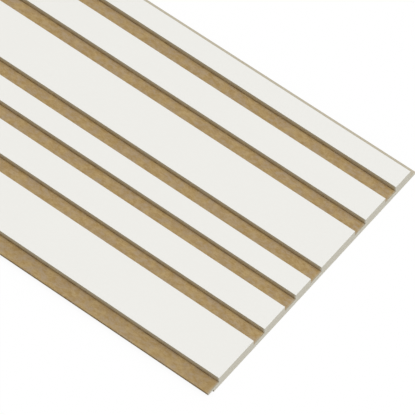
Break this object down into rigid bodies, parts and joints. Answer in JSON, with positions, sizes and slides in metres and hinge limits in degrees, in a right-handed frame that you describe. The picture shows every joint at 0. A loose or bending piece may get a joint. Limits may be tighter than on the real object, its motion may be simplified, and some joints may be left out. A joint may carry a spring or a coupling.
{
  "type": "slatted wall panel",
  "caption": "Slatted wall board milled from solid MDF: white primed slats in a repeating run of widths, raw grooves between them, and a lap lip and tongue along its long edges.",
  "frame": {"origin": "middle of the back face, on the floor that the board lies on", "axes": "+X along the board, +Y towards the edge with the lap lip, +Z out of the slatted face"},
  "size_m": [2.4, 0.2762, 0.012],
  "materials": {
    "primed_mdf": "MDF with a matt white primed face; the grooves, shelf and tongue are raw milled MDF"
  },
  "bodies": {
    "root": {"slatted_board": "primed_mdf"}
  },
  "joints": []
}
